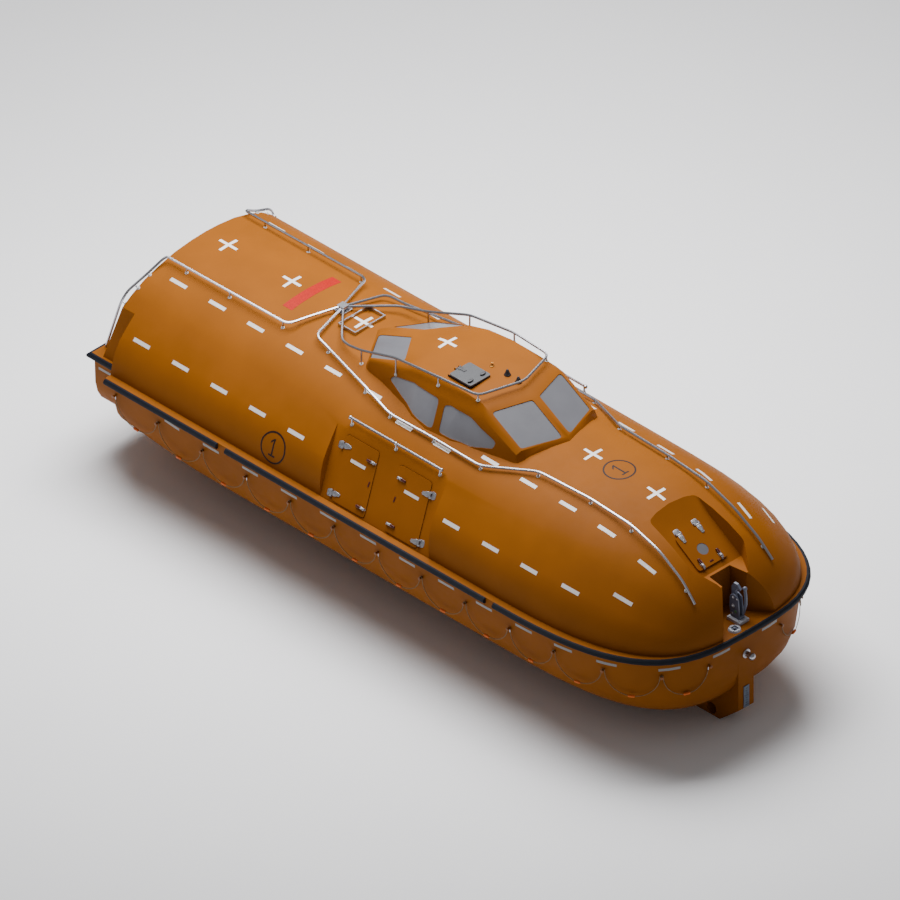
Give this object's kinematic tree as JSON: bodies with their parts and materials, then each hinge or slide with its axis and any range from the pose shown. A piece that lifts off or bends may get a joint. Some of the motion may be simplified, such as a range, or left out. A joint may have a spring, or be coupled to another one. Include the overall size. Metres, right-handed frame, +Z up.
{
  "type": "enclosed lifeboat",
  "caption": "Orange davit-launched enclosed lifeboat with a raised wheelhouse, side doors, rails, release hooks and a steering nozzle",
  "frame": {"origin": "amidships on the centreline, at the waterline", "axes": "+X forward to the bow, +Y to port, +Z up"},
  "size_m": [11.9924, 4.594, 3.96],
  "materials": {
    "orange_laminate": "glossy orange glass-fibre laminate",
    "fender_rubber": "matt black rubber",
    "polished_tube": "stainless steel tube",
    "steel_fitting": "stainless steel",
    "window_glass": "grey safety glass",
    "grey_lid": "grey painted plate",
    "hook_paint": "blue-grey painted steel",
    "bronze": "cast bronze",
    "black_cap": "black moulded cap",
    "engine_paint": "grey engine enamel",
    "grab_rope": "pale polyester rope"
  },
  "bodies": {
    "boat": {"aft_hook_base": "hook_paint", "aft_rail_port": "polished_tube", "aft_rail_starboard": "polished_tube", "canopy": "orange_laminate", "deck_ring": "steel_fitting", "door_rail_port": "polished_tube", "door_rail_starboard": "polished_tube", "engine": "engine_paint", "fender_aft_port": "fender_rubber", "fender_aft_starboard": "fender_rubber", "fender_bow": "fender_rubber", "fender_mid_port": "fender_rubber", "fender_mid_starboard": "fender_rubber", "fender_stern": "fender_rubber", "fore_hook_base": "hook_paint", "front_window_port": "window_glass", "front_window_starboard": "window_glass", "grab_line_port_1": "grab_rope", "grab_line_port_2": "grab_rope", "grab_line_port_3": "grab_rope", "grab_line_port_4": "grab_rope", "grab_line_starboard_1": "grab_rope", "grab_line_starboard_2": "grab_rope", "grab_line_starboard_3": "grab_rope", "grab_line_starboard_4": "grab_rope", "hull": "orange_laminate", "outer_rail_port": "polished_tube", "outer_rail_starboard": "polished_tube", "painter_boss": "steel_fitting", "rail_hub": "steel_fitting", "rear_window_port": "window_glass", "rear_window_starboard": "window_glass", "roof_frame": "steel_fitting", "roof_light": "bronze", "roof_rail": "polished_tube", "roof_vent_aft": "black_cap", "roof_vent_fore": "black_cap", "side_aft_window_port": "window_glass", "side_aft_window_starboard": "window_glass", "side_fore_window_port": "window_glass", "side_fore_window_starboard": "window_glass", "stem_strip": "steel_fitting", "wheelhouse": "orange_laminate"},
    "aft_door_port": {"aft_door_port": "orange_laminate"},
    "aft_door_starboard": {"aft_door_starboard": "orange_laminate"},
    "forward_door_port": {"forward_door_port": "orange_laminate"},
    "forward_door_starboard": {"forward_door_starboard": "orange_laminate"},
    "bow_hatch": {"bow_hatch": "orange_laminate", "bow_hatch_window": "window_glass"},
    "roof_hatch": {"roof_hatch": "grey_lid"},
    "nozzle": {"nozzle": "steel_fitting"},
    "propeller": {"propeller": "bronze"},
    "fore_hook_tongue": {"fore_hook_tongue": "hook_paint"},
    "aft_hook_tongue": {"aft_hook_tongue": "hook_paint"}
  },
  "joints": [
    {"name": "aft_door_port_hinge", "type": "hinge", "parent": "boat", "child": "aft_door_port", "pos_m": [-0.82747, 1.86635, 1.42803], "axis": [-0.1705, -0.5022, 0.8478], "range_deg": [0, 110]},
    {"name": "aft_door_starboard_hinge", "type": "hinge", "parent": "boat", "child": "aft_door_starboard", "pos_m": [-0.82747, -1.86635, 1.42803], "axis": [0.1705, -0.5022, -0.8478], "range_deg": [0, 110]},
    {"name": "forward_door_port_hinge", "type": "hinge", "parent": "boat", "child": "forward_door_port", "pos_m": [0.98453, 1.86635, 1.42803], "axis": [0.1705, 0.5022, -0.8478], "range_deg": [0, 110]},
    {"name": "forward_door_starboard_hinge", "type": "hinge", "parent": "boat", "child": "forward_door_starboard", "pos_m": [0.98453, -1.86635, 1.42803], "axis": [-0.1705, 0.5022, 0.8478], "range_deg": [0, 110]},
    {"name": "bow_hatch_hinge", "type": "hinge", "parent": "boat", "child": "bow_hatch", "pos_m": [4.61155, 0, 2.07091], "axis": [0, -1, 0], "range_deg": [0, 95]},
    {"name": "roof_hatch_hinge", "type": "hinge", "parent": "boat", "child": "roof_hatch", "pos_m": [0.225, -0.41, 3.008], "axis": [0, -1, 0], "range_deg": [0, 100]},
    {"name": "nozzle_steering", "type": "hinge", "parent": "boat", "child": "nozzle", "pos_m": [-5.5, 0, -0.58], "axis": [0, 0, 1], "range_deg": [-35, 35]},
    {"name": "propeller_spin", "type": "hinge", "parent": "boat", "child": "propeller", "pos_m": [-5.5, 0, -0.58], "axis": [0.9944, 0, 0.1054], "continuous": true},
    {"name": "fore_hook_tongue_release", "type": "hinge", "parent": "boat", "child": "fore_hook_tongue", "pos_m": [5.605, 0, 1.2104], "axis": [0, 1, 0], "range_deg": [0, 60]},
    {"name": "aft_hook_tongue_release", "type": "hinge", "parent": "boat", "child": "aft_hook_tongue", "pos_m": [-5.61, 0, 1.2104], "axis": [0, -1, 0], "range_deg": [0, 60]}
  ]
}
